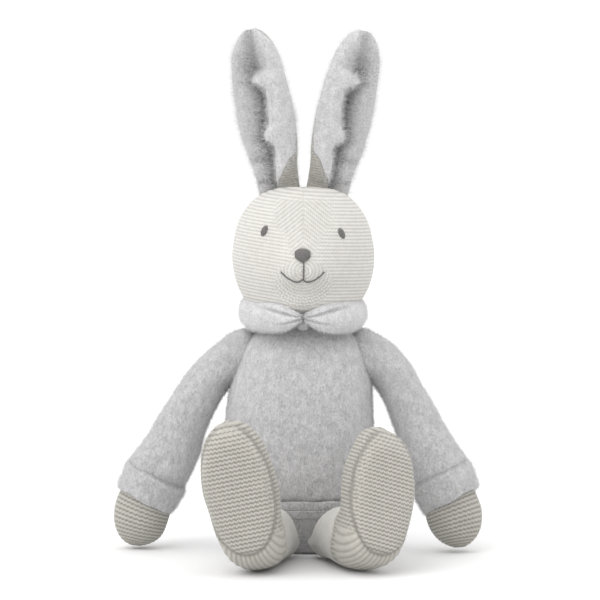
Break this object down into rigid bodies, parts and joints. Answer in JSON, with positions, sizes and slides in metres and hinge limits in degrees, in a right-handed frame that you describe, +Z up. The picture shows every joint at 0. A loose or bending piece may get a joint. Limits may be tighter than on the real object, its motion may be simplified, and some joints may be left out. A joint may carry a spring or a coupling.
{
  "type": "stuffed bunny rabbit",
  "caption": "Sitting soft-toy rabbit with a knitted head, hands and feet, upright plush ears, a velour sweater with a puffy collar, and turning limbs.",
  "frame": {"origin": "middle of the flat seat, on the surface the toy sits on", "axes": "+Z up, -Y the way the rabbit faces, +X to its left (the right of a front view)"},
  "size_m": [0.2264, 0.1672, 0.3211],
  "materials": {
    "velour": "short pale-grey velour pile",
    "plush": "soft light-grey plush pile",
    "knit_cream": "fine cream garter knit",
    "knit_oat": "chunky oatmeal purl knit",
    "thread": "taupe embroidery thread",
    "fibre": "loose polyester fibre",
    "pellet_bag": "woven bag of plastic pellets"
  },
  "bodies": {
    "torso": {"sweater_body": "velour", "hem_band": "velour", "seat_cover": "velour", "torso_stuffing": "fibre", "pellet_bag": "pellet_bag", "collar_left": "plush", "collar_right": "plush", "collar_tack": "plush"},
    "neck": {"neck_core": "fibre"},
    "head": {"head_cover_left": "knit_cream", "head_cover_right": "knit_cream", "head_stuffing": "fibre", "eye_left": "thread", "eye_right": "thread", "nose": "thread", "mouth": "thread"},
    "ear_left": {"ear_front_left": "plush", "ear_back_left": "knit_oat", "ear_wadding_left": "fibre", "ear_tacks_left": "thread"},
    "arm_left": {"sleeve_left": "velour", "cuff_left": "velour", "hand_left": "knit_oat", "arm_stuffing_left": "fibre"},
    "leg_left": {"leg_cover_left": "knit_cream", "foot_upper_left": "knit_oat", "sole_left": "knit_oat", "leg_stuffing_left": "fibre"},
    "ear_right": {"ear_front_right": "plush", "ear_back_right": "knit_oat", "ear_wadding_right": "fibre", "ear_tacks_right": "thread"},
    "arm_right": {"sleeve_right": "velour", "cuff_right": "velour", "hand_right": "knit_oat", "arm_stuffing_right": "fibre"},
    "leg_right": {"leg_cover_right": "knit_cream", "foot_upper_right": "knit_oat", "sole_right": "knit_oat", "leg_stuffing_right": "fibre"}
  },
  "joints": [
    {"name": "neck_turn", "type": "hinge", "parent": "torso", "child": "neck", "pos_m": [0, 0, 0.143], "axis": [0, 0, 1], "range_deg": [-16, 16], "stiffness_Nm_per_rad": 0.08},
    {"name": "neck_nod", "type": "hinge", "parent": "neck", "child": "head", "pos_m": [0, 0, 0.149], "axis": [1, 0, 0], "range_deg": [-14, 2], "stiffness_Nm_per_rad": 0.25},
    {"name": "ear_fold_left", "type": "hinge", "parent": "head", "child": "ear_left", "pos_m": [-0.0155, 0.003, 0.2248], "axis": [0.9848, 0, 0.1736], "range_deg": [-35, 40], "stiffness_Nm_per_rad": 0.02},
    {"name": "ear_fold_right", "type": "hinge", "parent": "head", "child": "ear_right", "pos_m": [0.0155, 0.003, 0.2248], "axis": [0.9744, 0, -0.225], "range_deg": [-35, 40], "stiffness_Nm_per_rad": 0.02},
    {"name": "shoulder_left", "type": "hinge", "parent": "torso", "child": "arm_left", "pos_m": [-0.0408, 0, 0.1195], "axis": [-0.9945, 0, 0.1045], "range_deg": [-20, 95]},
    {"name": "shoulder_right", "type": "hinge", "parent": "torso", "child": "arm_right", "pos_m": [0.0408, 0, 0.1195], "axis": [-0.9945, 0, -0.1045], "range_deg": [-20, 95]},
    {"name": "hip_left", "type": "hinge", "parent": "torso", "child": "leg_left", "pos_m": [-0.0189, -0.0365, 0.01], "axis": [-0.9903, 0.1392, 0], "range_deg": [-80, 20]},
    {"name": "hip_right", "type": "hinge", "parent": "torso", "child": "leg_right", "pos_m": [0.0189, -0.0365, 0.01], "axis": [-0.9703, -0.2419, 0], "range_deg": [-80, 20]}
  ]
}
